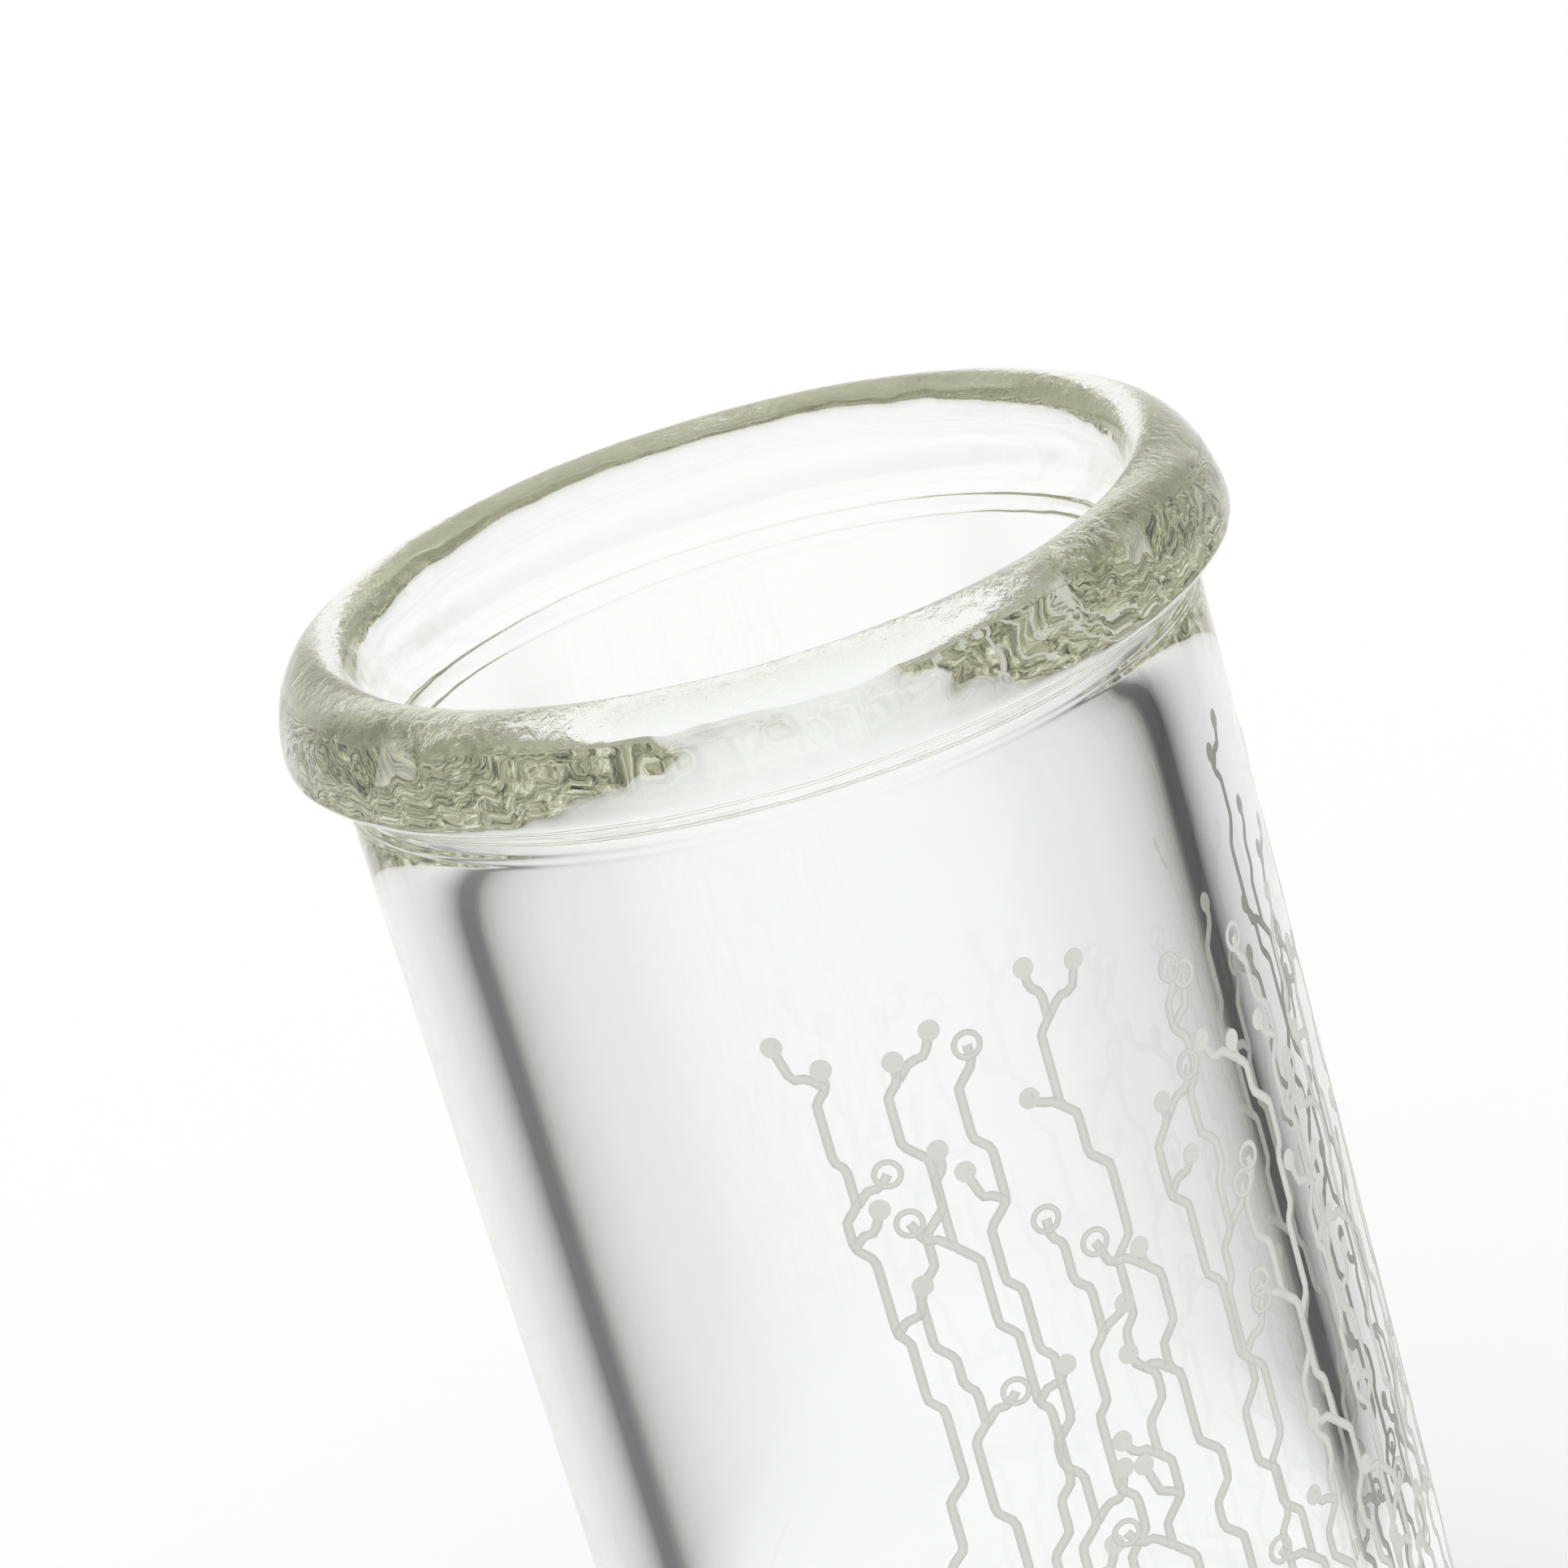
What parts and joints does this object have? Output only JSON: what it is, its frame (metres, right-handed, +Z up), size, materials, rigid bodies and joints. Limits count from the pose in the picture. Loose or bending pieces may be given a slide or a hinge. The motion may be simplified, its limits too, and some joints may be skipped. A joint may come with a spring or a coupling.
{
  "type": "mixing glass",
  "caption": "Straight heavy-wall clear glass vessel with a rounded bead rim, no pouring lip and a thick flat base, for stirring drinks; the lower half is inferred.",
  "frame": {"origin": "centre of the foot, on the surface the vessel stands on", "axes": "+Z up the axis, towards the mouth; -Y faces the middle of the print"},
  "size_m": [0.0996, 0.0996, 0.165],
  "materials": {
    "glass": "polished, clear with a faint olive tint where thick",
    "enamel_print": "thin matt fired enamel print"
  },
  "bodies": {
    "root": {"base_disc": "glass", "barrel_tube": "glass", "rim_bead": "glass"}
  },
  "joints": []
}
